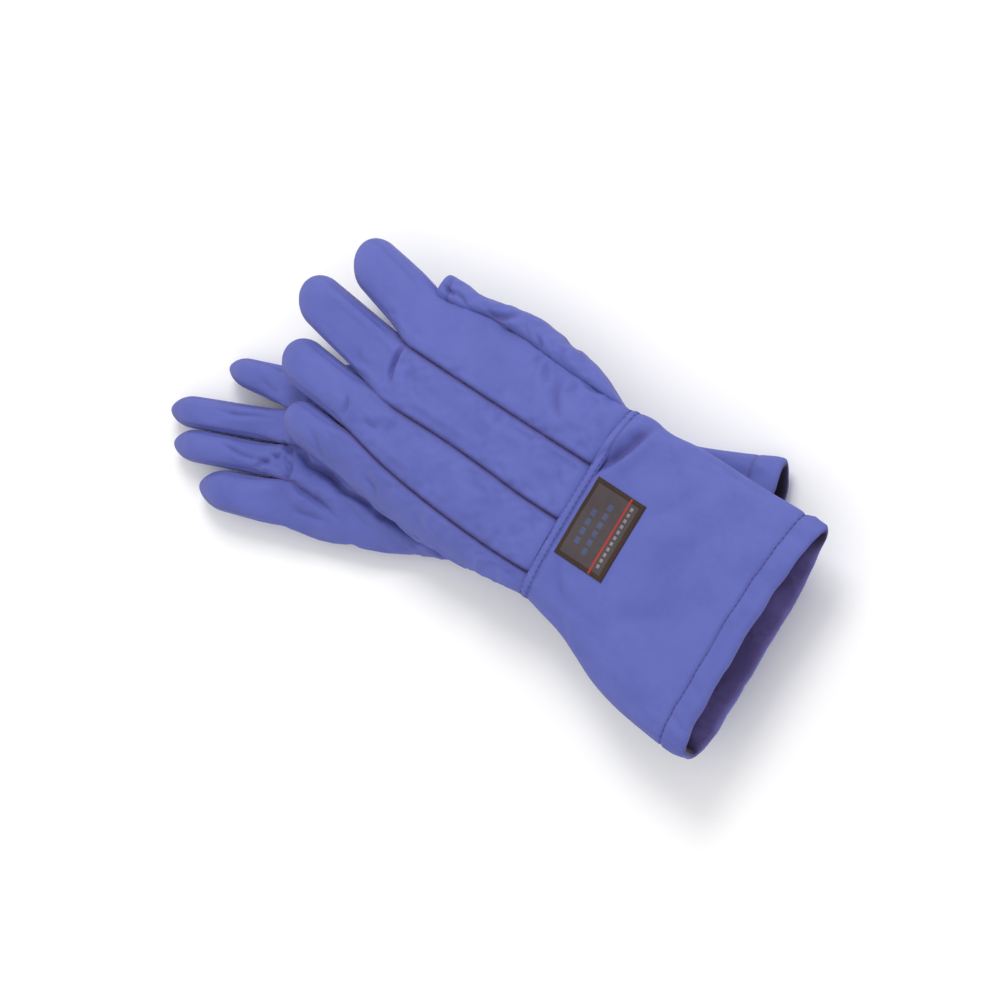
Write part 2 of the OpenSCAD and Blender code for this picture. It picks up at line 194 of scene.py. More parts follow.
def half_w(g, x):
    return (curve(g["far"], x) - curve(g["near"], x)) / 2


def height(g, x, y, inset=0.0):
    """Height of the hand's or cuff's skin over its middle plane."""
    s = np.clip(np.abs(y - middle_y(g, x)) / (half_w(g, x) - inset), 0, 1)
    h = (curve(g["half"], x) - inset) * (1 - s ** SECTION_P) ** (1 / SECTION_P)
    return np.where(x < 0, np.minimum(h, g["flat"] - inset), h)


def slanted(g, x, y):
    return x + np.where(x > 0, g["slant"] * y * x / g["mouth"], 0)


def line_y(g, k, x):
    """y of channel line k, which runs from the wrist to a crotch; 0 and 4 are the hand's edges."""
    if k == 0:
        return curve(g["far"], x)
    if k == 4:
        return curve(g["near"], x)
    return curve(g["lines"][k - 1], x)


def wrist_dip(x):
    """How far the hand is drawn in where it is sewn to the cuff."""
    return WRIST_DIP * np.exp((x + 0.4) / 3.2)


def hang(g, x, y):
    """How far the little-finger side of a hand hangs at (x, y)."""
    return g["sag"] * smooth(-25, -75, y) * smooth(0, -60, x)


# ---- meshes ----

def make_object(name, verts, faces, place, material, uv=None, seam=None):
    """A mesh object in the frame, from points in a glove's millimetres."""
    mesh = bpy.data.meshes.new(name)
    mesh.from_pydata([tuple(v) for v in verts], [], [tuple(int(i) for i in f) for f in faces])
    if uv is not None:
        layer = mesh.uv_layers.new(name="cloth")
        loops = np.zeros(len(mesh.loops), np.int32)
        mesh.loops.foreach_get("vertex_index", loops)
        layer.data.foreach_set("uv", np.asarray(uv, np.float32)[loops].ravel())
    # A point attribute of painted shade: how far each point is darkened in its seams, grooves, creases and
    # hollows
    if seam is not None:
        depth = mesh.attributes.new("seam", "FLOAT", "POINT")
        depth.data.foreach_set("value", np.clip(seam, 0, 1).astype(np.float32).ravel())
    mesh.transform(place)
    if place.determinant() < 0:
        mesh.flip_normals()
        # The lower glove lies on the table
        for v in mesh.vertices:
            v.co.z = max(v.co.z, CLEARANCE)
    mesh.materials.append(material)
    mesh.polygons.foreach_set("use_smooth", [True] * len(mesh.polygons))
    obj = bpy.data.objects.new(name, mesh)
    bpy.context.scene.collection.objects.link(obj)
    return obj


def grid_faces(rows, cols, wrap=False, start=0):
    faces = []
    for j in range(rows - 1):
        for i in range(cols - (0 if wrap else 1)):
            a = start + j * cols + i
            b = start + j * cols + (i + 1) % cols
            faces.append((a, b, b + cols, a + cols))
    return faces


def weld(obj, distance):
    """Joins points nearer than distance metres and drops what collapses."""
    bm = bmesh.new()
    bm.from_mesh(obj.data)
    bmesh.ops.remove_doubles(bm, verts=bm.verts, dist=distance)
    bmesh.ops.dissolve_degenerate(bm, edges=bm.edges, dist=distance / 10)
    bm.to_mesh(obj.data)
    bm.free()


# ---- materials ----

def material(name):
    m = bpy.data.materials.new(name)
    m.use_nodes = True
    nodes, links = m.node_tree.nodes, m.node_tree.links
    return m, nodes, links, nodes["Principled BSDF"]


def node(nodes, kind, **values):
    n = nodes.new(kind)
    for key, value in values.items():
        if key in n.inputs:
            n.inputs[key].default_value = value
        else:
            setattr(n, key, value)
    return n


def woven(name, colour, dark, thread=0.55, rough=0.62, sheen=0.15, bump=0.25, rim=None, deep=None):
    """A plain weave, drawn on the cloth's own millimetres, with soft blotches of wear.

    rim is a painted shade at grazing angles, where the light falls off, and deep a painted shade down in the
    seams, creases and hollows.
    """
    m, nodes, links, shader = material(name)
    uv = node(nodes, "ShaderNodeUVMap", uv_map="cloth")
    split = node(nodes, "ShaderNodeSeparateXYZ")
    links.new(uv.outputs["UV"], split.inputs["Vector"])
    waves = []
    for axis in ("X", "Y"):
        scale = node(nodes, "ShaderNodeMath", operation="MULTIPLY")
        scale.inputs[1].default_value = 2 * math.pi / thread
        links.new(split.outputs[axis], scale.inputs[0])
        wave = node(nodes, "ShaderNodeMath", operation="SINE")
        links.new(scale.outputs[0], wave.inputs[0])
        waves.append(wave)
    weave = node(nodes, "ShaderNodeMath", operation="MULTIPLY")
    links.new(waves[0].outputs[0], weave.inputs[0])
    links.new(waves[1].outputs[0], weave.inputs[1])
    slub = node(nodes, "ShaderNodeTexNoise", Scale=0.9, Detail=3.0)
    links.new(uv.outputs["UV"], slub.inputs["Vector"])
    relief = node(nodes, "ShaderNodeMath", operation="ADD")
    links.new(weave.outputs[0], relief.inputs[0])
    links.new(slub.outputs["Fac"], relief.inputs[1])
    # Small crumples of the coated cloth, a few millimetres across
    crumple = node(nodes, "ShaderNodeTexNoise", Scale=0.11, Detail=2.0, Distortion=0.6)
    links.new(uv.outputs["UV"], crumple.inputs["Vector"])
    soft = node(nodes, "ShaderNodeBump", Strength=0.35, Distance=0.0012)
    links.new(crumple.outputs["Fac"], soft.inputs["Height"])
    bumps = node(nodes, "ShaderNodeBump", Strength=bump, Distance=0.0002)
    links.new(relief.outputs[0], bumps.inputs["Height"])
    links.new(soft.outputs["Normal"], bumps.inputs["Normal"])
    links.new(bumps.outputs["Normal"], shader.inputs["Normal"])
    blotch = node(nodes, "ShaderNodeTexNoise", Scale=0.03, Detail=4.0, Roughness=0.6)
    links.new(uv.outputs["UV"], blotch.inputs["Vector"])
    tone = node(nodes, "ShaderNodeMix", data_type="RGBA")
    tone.inputs[6].default_value = (*dark, 1)
    tone.inputs[7].default_value = (*colour, 1)
    spread = node(nodes, "ShaderNodeMapRange")
    spread.inputs["From Min"].default_value = 0.3
    spread.inputs["From Max"].default_value = 0.6
    links.new(blotch.outputs["Fac"], spread.inputs["Value"])
    links.new(spread.outputs["Result"], tone.inputs[0])
    last = tone.outputs[2]
    # Painted shade at grazing angles, where the light falls off
    if rim:
        angle = node(nodes, "ShaderNodeLayerWeight", Blend=0.35)
        edge = node(nodes, "ShaderNodeMapRange")
        edge.inputs["From Min"].default_value = 0.35
        edge.inputs["From Max"].default_value = 0.95
        links.new(angle.outputs["Facing"], edge.inputs["Value"])
        mix = node(nodes, "ShaderNodeMix", data_type="RGBA")
        mix.inputs[7].default_value = (*rim, 1)
        links.new(last, mix.inputs[6])
        links.new(edge.outputs["Result"], mix.inputs[0])
        last = mix.outputs[2]
    # Painted shade in seams, grooves, creases and hollows, as much as the point's shade attribute asks
    if deep:
        seam = node(nodes, "ShaderNodeAttribute", attribute_name="seam")
        mix = node(nodes, "ShaderNodeMix", data_type="RGBA")
        mix.inputs[7].default_value = (*deep, 1)
        links.new(last, mix.inputs[6])
        links.new(seam.outputs["Fac"], mix.inputs[0])
        last = mix.outputs[2]
    links.new(last, shader.inputs["Base Color"])
    shader.inputs["Roughness"].default_value = rough
    shader.inputs["Sheen Weight"].default_value = sheen
    shader.inputs["Sheen Roughness"].default_value = 0.45
    shader.inputs["Specular IOR Level"].default_value = 0.3
    return m


def srgb(r, g, b):
    """Linear colour of a screen colour from 0 to 255."""
    return tuple(((c / 255 + 0.055) / 1.055) ** 2.4 if c > 10 else c / 255 / 12.92 for c in (r, g, b))


# Its rim and deep colours are painted shade, at grazing angles and down in seams and creases
NYLON = woven("nylon_shell", srgb(88, 96, 171), srgb(81, 89, 163), rim=srgb(58, 58, 148),
              deep=srgb(62, 50, 106))
# Its near-black deep colour is painted shade, down inside the mouth
FACING = woven("nylon_inside", srgb(104, 94, 160), srgb(78, 66, 120), rough=0.8, deep=srgb(24, 12, 24))
LINING = woven("knit_lining", srgb(58, 42, 66), srgb(38, 26, 40), thread=1.6, rough=0.95, bump=0.5)
THREAD = woven("sewing_thread", srgb(66, 66, 138), srgb(56, 54, 124), thread=0.3, rough=0.7)
DARK_THREAD = woven("label_thread", srgb(60, 44, 34), srgb(46, 34, 28), thread=0.3, rough=0.8)
LABEL = woven("label_field", srgb(74, 66, 68), srgb(64, 55, 57), thread=0.5, rough=0.8, sheen=0.1)
BORDER = woven("label_border", srgb(58, 42, 32), srgb(46, 33, 26), thread=0.5, rough=0.8, sheen=0.1)
STRIPE = woven("label_stripe", srgb(164, 52, 48), srgb(146, 44, 42), thread=0.5, rough=0.8, sheen=0.1)
PALE = woven("label_pale", srgb(126, 126, 132), srgb(112, 112, 120), thread=0.5, rough=0.8, sheen=0.1)
BLUISH = woven("label_bluish", srgb(74, 80, 112), srgb(66, 70, 100), thread=0.5, rough=0.8, sheen=0.1)


# ---- wrinkles ----

# Creases pressed into the fabric on the side that is seen: x0, y0 and x1, y1 are the ends, then
# depth and width. A negative depth is a ridge.
HAND_CREASES = {
    "upper": [(-64, 62, -51, 49, 1.3, 3.4), (-51, 57, -34, 35, 1.5, 3.2), (-41, 63, -37, 52, 1.1, 3.2),
              (-71, 64, -66, 56, 1.0, 3.2), (-74, 21, -66, 11, 0.8, 3.0), (-146, 18, -125, 0, 0.9, 2.6),
              (-152, 23, -145, -3, 2.3, 2.0), (-139, 17, -128, 6, 0.7, 3.0), (-177, 5, -166, -2, 1.0, 3.0),
              (-167, -21, -160, -35, 1.3, 2.6), (-146, -32, -135, -26, 0.9, 3.0),
              (-128, -16, -129, -32, 0.8, 3.0), (-179, -53, -159, -65, 1.1, 3.0),
              (-131, -57, -117, -66, 1.2, 3.2), (-22, -20, -8, -30, 0.7, 3.4), (-20, 12, -6, 2, 0.7, 3.4),
              (-24, -58, -6, -62, 0.8, 3.0), (-12, 52, -3, 36, 0.8, 2.8), (-88, -60, -72, -70, 0.7, 3.4)],
    "lower": [(-163, 5, -153, -6, 2.0, 2.2), (-156, -17, -114, -39, 2.0, 3.0),
              (-150, -35, -119, -43, 1.2, 3.2), (-179, -16, -171, -8, 1.6, 2.2),
              (-170, -6, -159, -4, 1.5, 2.2), (-155, 4, -142, -4, 1.4, 2.4), (-157, -19, -151, -8, 1.4, 2.2),
              (-158, 0, -155, -14, 1.6, 2.4), (-208, -4, -170, -12, 1.2, 1.9),
              (-213, 17, -174, 16, 1.2, 1.9),
              # The furrow under the upper glove's edge
              (-160, 2, -136, -9, 2.4, 3.2), (-142, -7, -112, -19, 2.6, 3.4), (-118, -17, -86, -30, 2.6, 3.4),
              (-92, -28, -60, -39, 2.2, 3.2),
              (-190, 40, -172, 34, 1.0, 3.0), (-120, -20, -84, -44, 0.8, 4.0),
              (-100, 10, -84, -30, 0.8, 4.5), (-60, 40, -40, 10, 0.9, 4.0)],
}
CUFF_CREASES = {
    "upper": [(21, 64, 4, 22, 3.6, 4.6), (27, 62, 12, 26, -0.9, 4.0), (12, -36, 34, -60, 1.3, 4.0),
              (62, 68, 120, 66, 0.9, 4.0), (60, -56, 124, -2, 0.8, 8.0), (76, 52, 48, 12, 0.9, 9.0),
              (28, 66, 62, 40, 1.0, 6.0), (112, 60, 70, -20, 0.7, 10.0), (20, -62, 44, -72, 1.1, 4.0),
              (9, 40, 16, 60, 1.0, 3.0)],
    "lower": [(100, 48, 150, 30, 0.9, 5.0), (14, 40, 34, 10, 1.2, 4.0)],
}
THUMB_CREASES = {
    "upper": [(-114, 67, -95, 75.5, 1.9, 3.0), (-150, 68.5, -141, 63.5, 1.6, 1.8),
              (-143, 69, -129, 63.5, 1.2, 2.2), (-74, 74, -71, 66, 1.3, 2.2), (-58, 76, -50, 66, 0.8, 3.0),
              (-88, 80, -82, 68, 0.7, 3.0)],
    "lower": [(-126, 60, -112, 52, 1.2, 2.6), (-94, 62, -84, 50, 1.0, 3.0), (-56, 60, -48, 48, 1.0, 3.0)],
}


def creases(rows, x, y):
    """Depth of the creases at (x, y): a sharp valley with a soft ridge on each side."""
    out = np.zeros_like(x)
    for x0, y0, x1, y1, depth, width in rows:
        along = np.array([x1 - x0, y1 - y0], float)
        length = np.hypot(*along)
        ax, ay = along / length
        u = ((x - x0) * ax + (y - y0) * ay) / length
        d = (-(x - x0) * ay + (y - y0) * ax) + 1.2 * np.sin(u * 5 + x0)
        window = smooth(-0.15, 0.3, u) * smooth(1.2, 0.6, u)
        valley = -np.exp(-(d / width) ** 2 * 2)
        ridge = 0.45 * np.exp(-((np.abs(d) - 1.9 * width) / (1.1 * width)) ** 2)
        out += depth * window * (valley + ridge)
    return out


def wrinkle(x, y, seed):
    """How far the back or palm of a hand stands proud at (x, y), in millimetres."""
    flat = np.stack([x, y, np.full_like(x, seed * 31.0)], -1)
    long_way = np.stack([x * 0.45, y, np.full_like(x, seed * 13.0)], -1)
    soft = 0.5 * noise_at(flat, 38, seed) + 0.4 * noise_at(long_way, 16, seed + 1)
    return soft.reshape(x.shape)


def puckers(g, x, y, seed):
    """Short ridges that run away from the channel stitching."""
    out = np.zeros_like(x)
    for k in (1, 2, 3):
        d = np.abs(y - line_y(g, k, x))
        run = np.stack([x, d * 0.3, np.full_like(x, k * 50.0 + seed)], -1)
        out += np.exp(-d / 6.0) * (1 - np.exp(-d / 0.9)) * 1.5 * noise_at(run, 6.0, seed + k).reshape(x.shape)
    return out


# ---- cloth ----

CLOTH_FRAMES = 20
# The furthest that the cloth may move a point, in millimetres
CLOTH_CAP = 2.2


def clothed(x, y, z, yc, held, row_step=4, col_step=3):
    """How far a cloth simulation moves each point of a padded tube, in millimetres.

    It runs on a coarse copy of the tube. The copy starts slimmer, its held points stay, and its cloth
    is a little larger than the copy, so pressure fills it and the spare cloth gathers by the seams.
    """
    rows = np.unique(np.append(np.arange(0, x.shape[0], row_step), x.shape[0] - 1))
    cols = np.arange(0, x.shape[1], col_step)
    pick = np.ix_(rows, cols)
    fine = np.stack([x, y, z], -1)
    slim = np.stack([x, yc + (y - yc) * (1 - 0.05 * (1 - held)), z * (1 - 0.09 * (1 - held))], -1)[pick]
    points = slim.reshape(-1, 3) * MM
    faces = grid_faces(len(rows), len(cols), wrap=True)
    last = (len(rows) - 1) * len(cols)
    faces += [tuple(reversed(range(len(cols)))), tuple(last + i for i in range(len(cols)))]
    mesh = bpy.data.meshes.new("pad")
    mesh.from_pydata([tuple(q) for q in points], [], faces)
    pad = bpy.data.objects.new("pad", mesh)
    scene = bpy.context.scene
    scene.collection.objects.link(pad)
    group = pad.vertex_groups.new(name="held")
    for i, weight in enumerate(held[pick].ravel()):
        group.add([i], float(np.clip(weight, 0, 1)), "REPLACE")
    cloth = pad.modifiers.new("cloth", "CLOTH")
    cloth.settings.vertex_group_mass = "held"
    cloth.settings.use_pressure = True
    cloth.settings.uniform_pressure_force = 4
    cloth.settings.shrink_min = -0.018
    cloth.settings.bending_stiffness = 1.2
    cloth.settings.effector_weights.gravity = 0
    cloth.point_cache.frame_end = CLOTH_FRAMES
    for step in range(1, CLOTH_FRAMES + 1):
        scene.frame_set(step)
    found = pad.evaluated_get(bpy.context.evaluated_depsgraph_get()).data
    out = np.zeros(len(found.vertices) * 3)
    found.vertices.foreach_get("co", out)
    moved = out.reshape(slim.shape) / MM - fine[pick]
    scene.frame_set(1)
    bpy.data.objects.remove(pad)
    bpy.data.meshes.remove(mesh)
    size = np.linalg.norm(moved, axis=-1, keepdims=True)
    moved *= np.minimum(1, CLOTH_CAP / np.maximum(size, 1e-6))
    # From the coarse points to the fine ones, along the rows and then round them
    moved = np.concatenate([moved, moved[:, :1]], 1)
    stations = np.append(cols, x.shape[1])
    tall = np.stack([[np.interp(np.arange(x.shape[0]), rows, moved[:, c, i]) for i in range(3)]
                     for c in range(len(stations))])
    tall = tall.transpose(2, 0, 1)
    f = np.clip(np.searchsorted(stations, np.arange(x.shape[1]), side="right") - 1, 0, len(cols) - 1)
    t = ((np.arange(x.shape[1]) - stations[f]) / (stations[f + 1] - stations[f]))[None, :, None]
    t = t * t * (3 - 2 * t)
    return tall[:, f] * (1 - t) + tall[:, f + 1] * t


# ---- a quilted column: one channel of the hand and its finger, in one piece ----

# Steps across the top or the bottom of a channel, and points down each side
TOP = 32
WALL = 6


def column(glove, k):
    """Points of channel k and its finger as rings, wrist first: x, y, z arrays and each point's painted
    shade.
    """
    g = GLOVES[glove]
    root_y, tip_x, tip_y, root_w, tip_w, finger_h = g["fingers"][FINGERS[k]]
    knuckle = g["knuckle"]
    end_r = tip_w * g["tip_round"][0]
    blunt = g["tip_round"][1]
    straight = np.arange(-0.4, tip_x + end_r, -1.2)
    angles = np.linspace(0, math.pi / 2, 16)[1:-1]
    bend = (tip_x + end_r) - end_r * np.sin(angles)
    x = np.concatenate([straight, bend])[:, None]

    run = x - tip_x
    fade = np.where(run < end_r, np.clip(1 - (1 - run / end_r) ** 2, 0, 1) ** blunt, 1)
    t = np.clip((x - knuckle) / (tip_x - knuckle), 0, 1)
    finger_y = root_y + (tip_y - root_y) * t
    finger_w = (root_w + (tip_w - root_w) * t) / 2
    ends = (knuckle,) + g["crotches"] + (knuckle,)
    m_hi = smooth(ends[k] + 12, ends[k] - 9, x)
    m_lo = smooth(ends[k + 1] + 12, ends[k + 1] - 9, x)
    hi = line_y(g, k, x) * (1 - m_hi) + (finger_y + finger_w) * m_hi
    lo = line_y(g, k + 1, x) * (1 - m_lo) + (finger_y - finger_w) * m_lo
    yc, w = (hi + lo) / 2, (hi - lo) / 2 * fade

    # The palm form: its top and bottom follow the whole hand, and its lines are pulled in
    outer_hi, outer_lo = k == 0, k == 3
    c = np.cos(np.linspace(0, math.pi, TOP + 1))[None, :]
    c_hi = 0.955 if outer_hi else 1.0
    c_lo = 0.955 if outer_lo else 1.0
    c_in = np.where(c > 0, c * c_hi, c * c_lo)
    y_flat = yc + w * c_in
    envelope = height(g, x, y_flat)
    gap = np.full_like(y_flat, 99.0)
    if not outer_hi:
        gap = np.minimum(gap, hi - y_flat)
    if not outer_lo:
        gap = np.minimum(gap, y_flat - lo)
    gap = np.clip(gap, 0, None)
    groove = 3.2 * np.exp(-gap / 1.2) + 1.0 * np.exp(-(gap / 6) ** 2)
    near_crotch = smooth(knuckle + 30, knuckle - 4, x)
    palm_groove = (1.6 * np.exp(-gap / 1.4) + 0.6 * np.exp(-(gap / 5) ** 2)) * near_crotch
    top_flat = envelope - groove - wrist_dip(x)
    bottom_flat = -(envelope - palm_groove - wrist_dip(x))

    # The finger form: an oval, with the ring's points spread evenly round it
    side = math.radians(16)
    a_top = np.linspace(side, math.pi - side, TOP + 1)[None, :]
    fz = finger_h * fade ** 0.85
    e = 2 / FINGER_P
    y_top, z_top = yc + w * power(np.cos(a_top), e), fz * power(np.sin(a_top), e)
    middle = (ends[k] + ends[k + 1]) / 2
    b = smooth(middle + 4, middle - 26, x)
    top_y, top_z = y_flat * (1 - b) + y_top * b, top_flat * (1 - b) + z_top * b
    bot_y, bot_z = top_y, bottom_flat * (1 - b) - z_top * b

    def wall(sign, edge):
        """Points down one side, from the top's end to the bottom's."""
        col = 0 if sign > 0 else -1
        s = np.linspace(0, 1, WALL + 2)[1:-1][None, :]
        z_hi, z_lo = top_z[:, [col]], bot_z[:, [col]]
        z_pal = z_hi * (1 - s) + z_lo * s
        bulge = np.sqrt(np.clip(1 - (2 * s - 1) ** 2, 0, 1))
        y_end = top_y[:, [col]]
        limit = yc + sign * w
        y_pal = y_end + (limit - y_end) * bulge * edge
        a = side - 2 * side * s
        y_fin = yc + sign * w * power(np.cos(a), e)
        z_fin = fz * power(np.sin(a), e)
        return y_pal * (1 - b) + y_fin * b, z_pal * (1 - b) + z_fin * b

    wy_lo, wz_lo = wall(-1, outer_lo)
    wy_hi, wz_hi = wall(+1, outer_hi)
    y = np.concatenate([top_y, wy_lo, bot_y[:, ::-1], wy_hi[:, ::-1]], 1)
    z = np.concatenate([top_z, wz_lo, bot_z[:, ::-1], wz_hi[:, ::-1]], 1)
    x = np.repeat(x, y.shape[1], 1)

    # Cloth, held along the channel lines and at the wrist
    on_line = np.clip(1.6 * np.exp(-gap / 3.5), 0, 1) * (1 - b)
    walls = np.repeat(1 - b, WALL, 1)
    held = np.concatenate([on_line, walls * (not outer_lo), on_line[:, ::-1], walls * (not outer_hi)], 1)
    held = np.maximum(held, smooth(-14, -3, x))
    shift = clothed(x, y, z, yc, held)
    y = y + shift[..., 1]
    z = z + shift[..., 2]

    # Wrinkles: straight up or down on the hand, outward on the finger
    up = np.sign(z)
    ridge = wrinkle(x, y, g["hand_seed"])
    ridge = ridge + 1.5 * creases(HAND_CREASES[glove], x, y) * (z * g["seen"] > 0)
    ridge = ridge * (1 - np.exp(-np.abs(z) / 3)) + puckers(g, x, y, g["hand_seed"]) * (z > 0) * (1 - b)
    ry, rz = (y - yc) / np.maximum(w, 1), z / np.maximum(fz, 1)
    norm = np.sqrt(ry ** 2 + rz ** 2) + 1e-6
    z += up * ridge * (1 - b) + ridge * 0.8 * b * rz / norm * fade
    y += ridge * 0.8 * b * ry / norm * fade
    z -= hang(g, x, y)
    if outer_lo:
        z -= g["sag"] * np.clip(1 - (rz * 0.9) ** 2, 0, 1) * smooth(yc + 2, yc - 12, y) * smooth(-20, -60, x)
    # The side pieces of the fingers are sewn in along two seams
    slope = np.arctan2(np.abs(z), np.abs(y - yc) * fz / np.maximum(w, 1))
    seam = 0.45 * np.exp(-((slope - 0.62) / 0.085) ** 2) * b * fade
    y -= seam * np.sign(y - yc) * 0.75
    z -= seam * up * 0.75
    # The fingertips hang down towards what the glove lies on
    drop = g["seen"] * g["tip_drop"] * smooth(24, 0, x - tip_x)
    z -= drop * np.clip(1 + g["seen"] * z / finger_h, 0, 2) / 2
    # Painted shade in the channel lines, on the flanks between the fingers, on the palm side by the crotches,
    # along the finger seams and down in the creases, the furrow under the upper glove's edge among them
    groove_shade = np.exp(-gap / 1.3) * (1 - b)
    arch = np.sin(np.linspace(0, math.pi, WALL + 2))[None, 1:-1]
    flank_shade = (0.5 if glove == "lower" else 0.25) * arch * b * fade
    below = (groove_shade * near_crotch)[:, ::-1]
    dark = np.concatenate([groove_shade, flank_shade * (not outer_lo), below * 0.8, flank_shade * (not outer_hi)], 1)
    cut = creases(HAND_CREASES[glove], x, y) * (z * g["seen"] > 0)
    dark = dark + 0.35 * np.clip(-cut - 0.5, 0, 1) + 0.35 * seam
    return x, y, z, dark


def column_object(glove, k):
    """Channel k and its finger as one closed mesh, without the walls that two channels share."""
    g = GLOVES[glove]
    finger = FINGERS[k]
    x, y, z, dark = column(glove, k)
    rows, cols = x.shape
    verts = np.stack([x, y, z], -1).reshape(-1, 3)
    step = np.sqrt(np.diff(y, axis=1) ** 2 + np.diff(z, axis=1) ** 2)
    around = np.concatenate([np.zeros((rows, 1)), np.cumsum(step, 1)], 1) + k * 97.0
    uv = np.stack([x, around], -1).reshape(-1, 2)
    inner_hi, inner_lo = k > 0, k < 3
    walls_hi, walls_lo = (g["crotches"][i] + 14 if 0 <= i < 3 else 0 for i in (k - 1, k))
    faces = []
    lo_wall = range(TOP, TOP + WALL + 1)
    hi_wall = range(2 * TOP + WALL + 1, 2 * TOP + 2 * WALL + 2)
    for j in range(rows - 1):
        for i in range(cols):
            if inner_lo and i in lo_wall and x[j + 1, 0] > walls_lo:
                continue
            if inner_hi and i in hi_wall and x[j + 1, 0] > walls_hi:
                continue
            a, c = j * cols + i, j * cols + (i + 1) % cols
            faces.append((a, a + cols, c + cols, c))
    tip = len(verts)
    root_y, tip_x, tip_y = g["fingers"][finger][:3]
    verts = np.vstack([verts, [tip_x - 0.1, y[-1].mean(), z[-1].mean()]])
    uv = np.vstack([uv, [tip_x, k * 97.0 + 30]])
    dark = np.append(dark.ravel(), 0)
    last = (rows - 1) * cols
    faces += [(last + i, tip, last + (i + 1) % cols) for i in range(cols)]
    obj = make_object(f"{glove}_{finger}_quilted_channel", verts, faces, PLACES[glove], NYLON, uv, dark)
    weld(obj, 0.00002)
    return obj


def build_hand(glove):
    for k, finger in enumerate(FINGERS):
        obj = column_object(glove, k)
        names = [f"{glove}_{finger}_{layer}" for layer in ("shell", "insulation", "liner")]
        names += [[f"{glove}_back_shell"], [f"{glove}_palm_shell"],
                  [f"{glove}_hand_insulation"], []][k]
        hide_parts(*names)
        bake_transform(obj)


# ---- thumb ----

def build_thumb(glove):
    g = GLOVES[glove]
    root_x, tip_x, half_h, zc = g["thumb"]
    r0, r1 = 30.0, 4.0
    a = np.linspace(0, math.pi / 2, 14)
    first = root_x - r0 * (1 - np.cos(a))
    last = tip_x + r1 - r1 * np.sin(a)
    mid = np.arange(root_x - r0 - 1.5, tip_x + r1, -1.5)
    x = np.concatenate([first[1:], mid, last[:-1]])[:, None]
    run1, run0 = x - tip_x, root_x - x
    fade = np.where(run1 < r1, np.sqrt(np.clip(1 - (1 - run1 / r1) ** 2, 0, 1)), 1)
    rise = np.where(run0 < r0, np.sqrt(np.clip(1 - (1 - run0 / r0) ** 2, 0, 1)), 1)
    inner = curve(g["far"], x) - 2.6 + 1.2 * np.exp(-((x + 101) / 7) ** 2) - 2.4 * smooth(-112, -138, x)
    outer = curve(g["thumb_out"], x)
    yc, half = (inner + outer) / 2, (outer - inner) / 2
    h = half_h * (0.45 + 0.55 * smooth(0, 60, run0)) * (1 - 0.28 * smooth(45, 4, run1))
    side = 52
    phi = np.linspace(0, 2 * math.pi, side, endpoint=False)[None, :]
    e = 2 / THUMB_P
    c, sn = power(np.cos(phi), e), power(np.sin(phi), e)
    y = yc + half * (fade ** 0.4) * c
    z = zc + h * fade * rise * sn
    x = np.repeat(x, side, 1)
    held = smooth(0.4, -0.5, c) + 0 * x
    shift = clothed(x, y, z - zc, yc, held, 3, 2)
    y = y + shift[..., 1]
    z = z + shift[..., 2]
    bumps = 0.6 * noise_at(np.stack([x, y, z], -1), 18, g["thumb_seed"]).reshape(x.shape)
    bumps += 0.45 * noise_at(np.stack([x, y * 0.6, z * 0.6], -1), 8, g["thumb_seed"]).reshape(x.shape)
    outward = np.where(c > 0, 1.0, 0.0)
    # The outer seam, and a fold where the stall bends over at its tip
    seam = 0.8 * np.exp(-(phi / 0.09) ** 2) + 0.8 * np.exp(-((phi - 2 * math.pi) / 0.09) ** 2)
    fold = 1.4 * np.exp(-((x - (tip_x + 9) + 0.4 * (y - yc)) / 1.6) ** 2) * (sn > 0) * sn
    y += (bumps * c * outward - seam) * fade * rise
    z += (bumps * sn - fold * np.sign(z - zc)) * fade * rise
    cut = creases(THUMB_CREASES[glove], x, y) * ((z - zc) * g["seen"] > 0)
    z += 1.4 * cut * np.sign(z - zc) * fade * rise
    # Painted shade in the outer seam, the creases and the fold, and on the inner side, where the stall meets
    # the hand
    dark = 0.5 * seam * np.ones_like(x) + 0.45 * np.clip(-cut - 0.4, 0, 1)
    dark = dark + 0.4 * np.clip(np.abs(fold) - 0.3, 0, 1) + 0.8 * smooth(-0.75, -0.97, c)
    # The end droops a little
    z -= 3.0 * smooth(-90, tip_x, x)
    verts = np.stack([x, y, z], -1).reshape(-1, 3)
    rows, cols = x.shape
    uv = np.stack([x + 300, phi * 10 + 0 * x], -1).reshape(-1, 2)
    faces = [tuple(reversed(f)) for f in grid_faces(rows, cols, wrap=True)]
    n = len(verts)
    verts = np.vstack([verts, [root_x, yc[0, 0], zc], [tip_x, yc[-1, 0], zc - 3.0]])
    uv = np.vstack([uv, [root_x + 300, 30], [tip_x + 300, 30]])
    faces += [(i, n, (i + 1) % cols)[::-1] for i in range(cols)]
    last_row = (rows - 1) * cols
    faces += [(last_row + i, last_row + (i + 1) % cols, n + 1)[::-1] for i in range(cols)]
    dark = np.append(dark.ravel(), [0, 0])
    obj = make_object(f"{glove}_thumb_stall", verts, faces, PLACES[glove], NYLON, uv, dark)
    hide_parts(*[f"{glove}_thumb_{layer}" for layer in ("shell", "insulation", "liner")])
    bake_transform(obj)


# ---- cuff ----

AROUND = 200
# How deep the lining lies below the cuff's skin, and where the welt starts
LINING_IN = 6.3
WELT_X = 0.3


def cuff_ring(g, x, inset, phi, extra=0.0):
    """Points round the cuff at station x, inset below its skin and pushed out by extra."""
    near_mouth = smooth(40, g["mouth"], x)
    p = SECTION_P + near_mouth * (np.where(np.cos(phi) > 0, *g["mouth_p"]) - SECTION_P)
    e = 2 / p
    w, h = half_w(g, x) - inset + extra, curve(g["half"], x) - inset + extra
    y = middle_y(g, x) + w * power(np.cos(phi), e)
    z = h * power(np.sin(phi), e)
    return y, z


